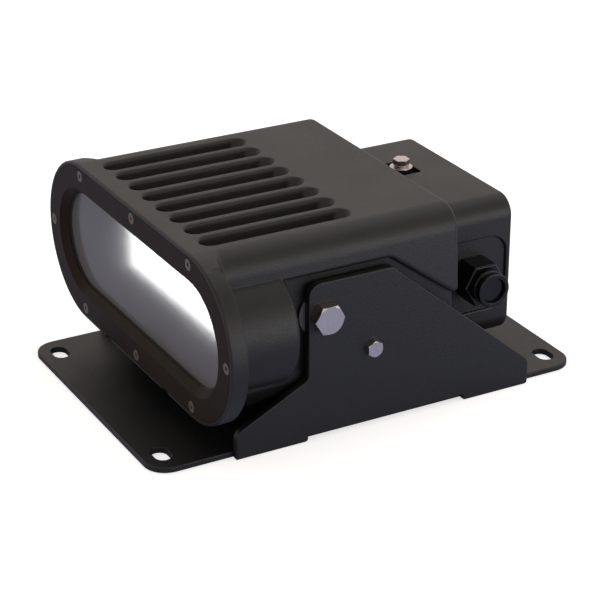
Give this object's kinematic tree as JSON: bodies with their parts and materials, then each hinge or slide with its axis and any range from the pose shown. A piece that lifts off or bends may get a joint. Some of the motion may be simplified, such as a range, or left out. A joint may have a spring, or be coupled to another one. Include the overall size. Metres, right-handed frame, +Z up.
{
  "type": "explosion-proof led floodlight",
  "caption": "Flameproof LED floodlight: slotted cast head with an obround window and rear terminal box, tilting between the side plates of a flat fixed base.",
  "frame": {"origin": "centre of the four fixing slots, on the underside of the base plate", "axes": "-Y is the way the window looks, +Z is up, +X is the side with the cable gland"},
  "size_m": [0.273, 0.31, 0.1341],
  "materials": {
    "bracket_paint": "fine textured black powder coat",
    "housing_paint": "cast aluminium under fine textured black powder coat",
    "ring_paint": "aluminium plate under smooth black powder coat",
    "steel": "bright stainless steel",
    "screw_steel": "stainless steel",
    "nylon": "black nylon",
    "seal_rubber": "black silicone rubber",
    "glass": "toughened clear glass",
    "opal": "opal diffuser",
    "board": "white circuit board",
    "chips": "yellow phosphor",
    "driver_case": "plain aluminium",
    "terminal_plastic": "moulded terminal plastic",
    "brass": "nickel-free brass",
    "gland_plastic": "black moulded polyamide"
  },
  "bodies": {
    "bracket": {"base_plate": "bracket_paint", "side_plate_left": "bracket_paint", "side_plate_right": "bracket_paint", "lock_screws": "steel"},
    "head": {"housing": "housing_paint", "front_ring": "ring_paint", "ring_screws": "screw_steel", "front_gasket": "seal_rubber", "window_glass": "glass", "rear_gasket": "seal_rubber", "diffuser": "opal", "heat_pad": "seal_rubber", "led_board": "board", "led_chips": "chips", "board_screws": "screw_steel", "led_driver": "driver_case", "driver_screws": "screw_steel", "terminal_box": "housing_paint", "box_seal": "seal_rubber", "box_screws": "screw_steel", "terminal_cover": "ring_paint", "cover_seal": "seal_rubber", "cover_screws": "screw_steel", "line_bushing": "brass", "terminal_block": "terminal_plastic", "clamp_screws": "brass", "gland_washer": "seal_rubber", "gland_body": "gland_plastic", "gland_nut": "gland_plastic", "gland_sleeve": "seal_rubber", "gland_blank": "gland_plastic", "earth_washer": "steel", "earth_spring_washer": "steel", "earth_screw": "steel", "inner_earth_screw": "brass", "pivot_bolts": "steel", "pivot_washers": "nylon"}
  },
  "joints": [
    {"name": "tilt", "type": "hinge", "parent": "bracket", "child": "head", "pos_m": [0, -0.0402, 0.0839], "axis": [1, 0, 0], "range_deg": [-5, 7]}
  ]
}
